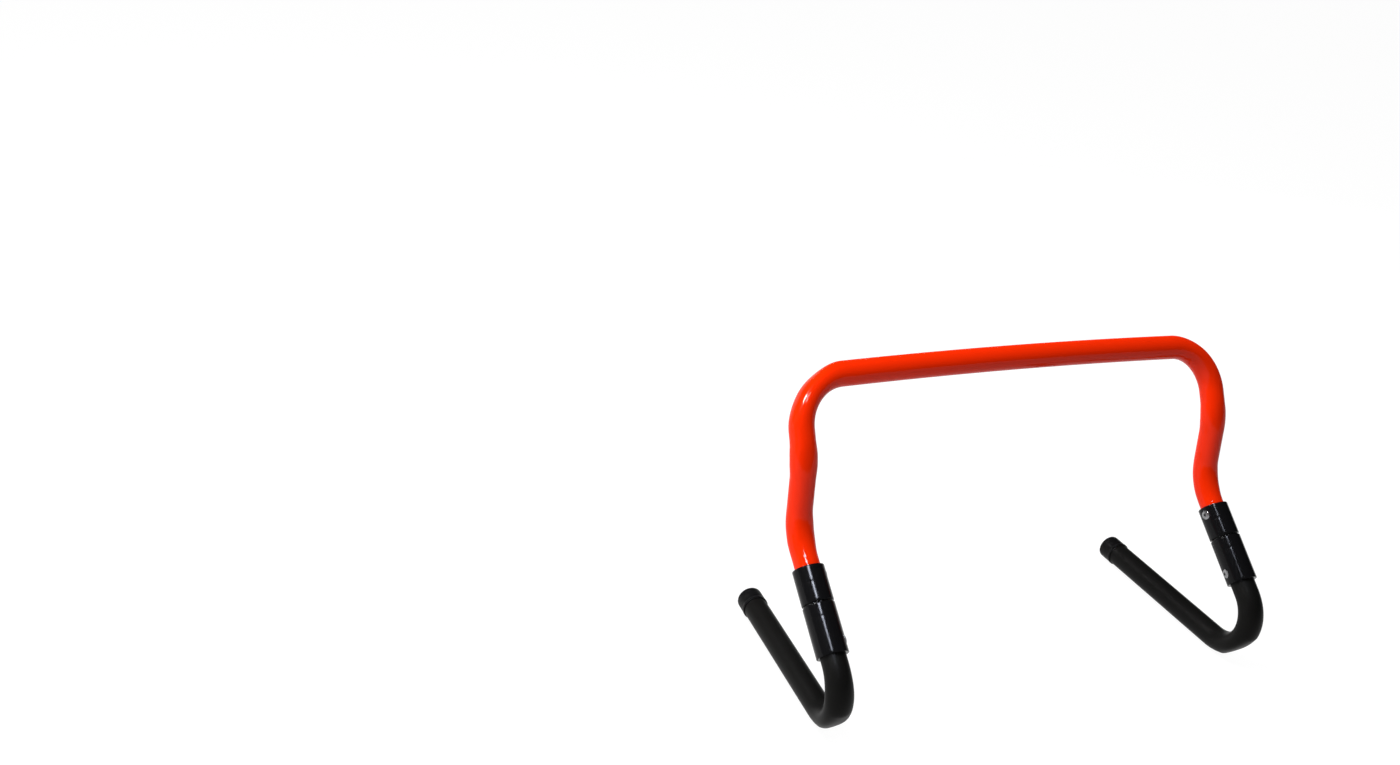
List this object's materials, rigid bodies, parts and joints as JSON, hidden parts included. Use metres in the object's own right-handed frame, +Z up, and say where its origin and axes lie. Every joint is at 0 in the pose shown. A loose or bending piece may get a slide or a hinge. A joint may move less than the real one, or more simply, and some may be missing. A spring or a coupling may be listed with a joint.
{
  "type": "agility hurdle",
  "caption": "Low training hurdle: one bent tube makes crossbar and legs, and each leg ends in a leaning swivel coupler with an L-shaped foot that turns to change the bar's height.",
  "frame": {"origin": "on the ground, under the centre of the whole hurdle's box at rest", "axes": "+X along the crossbar, +Y towards the capped ends of the feet, +Z up"},
  "size_m": [0.508, 0.2281, 0.3044],
  "materials": {
    "orange_tube": "glossy orange-red moulded plastic",
    "coupler_black": "glossy moulded black",
    "foot_black": "satin black",
    "cap_black": "satin moulded black",
    "ring_nylon": "dull black nylon",
    "rivet_aluminium": "plain bright aluminium dome heads",
    "mandrel_steel": "snapped steel pin",
    "zinc_steel": "zinc-plated",
    "spring_steel": "dark spring steel"
  },
  "bodies": {
    "frame": {"crossbar_tube": "orange_tube", "coupler_upper_left": "coupler_black", "friction_ring_left": "ring_nylon", "pivot_washer_left": "zinc_steel", "pivot_bolt_left": "zinc_steel", "disc_spring_left": "spring_steel", "lock_nut_left": "zinc_steel", "upper_rivet_left": "rivet_aluminium", "upper_rivet_mandrel_left": "mandrel_steel", "coupler_upper_right": "coupler_black", "friction_ring_right": "ring_nylon", "pivot_washer_right": "zinc_steel", "pivot_bolt_right": "zinc_steel", "disc_spring_right": "spring_steel", "lock_nut_right": "zinc_steel", "upper_rivet_right": "rivet_aluminium", "upper_rivet_mandrel_right": "mandrel_steel"},
    "left_foot": {"coupler_lower_left": "coupler_black", "foot_tube_left": "foot_black", "end_cap_left": "cap_black", "lower_rivet_left": "rivet_aluminium", "lower_rivet_mandrel_left": "mandrel_steel"},
    "right_foot": {"coupler_lower_right": "coupler_black", "foot_tube_right": "foot_black", "end_cap_right": "cap_black", "lower_rivet_right": "rivet_aluminium", "lower_rivet_mandrel_right": "mandrel_steel"}
  },
  "joints": [
    {"name": "left_foot_swivel", "type": "hinge", "parent": "frame", "child": "left_foot", "pos_m": [-0.239, -0.04504, 0.11302], "axis": [0, 0.788, 0.6157], "continuous": true},
    {"name": "right_foot_swivel", "type": "hinge", "parent": "frame", "child": "right_foot", "pos_m": [0.239, -0.04031, 0.11671], "axis": [0, 0.788, 0.6157], "continuous": true}
  ]
}
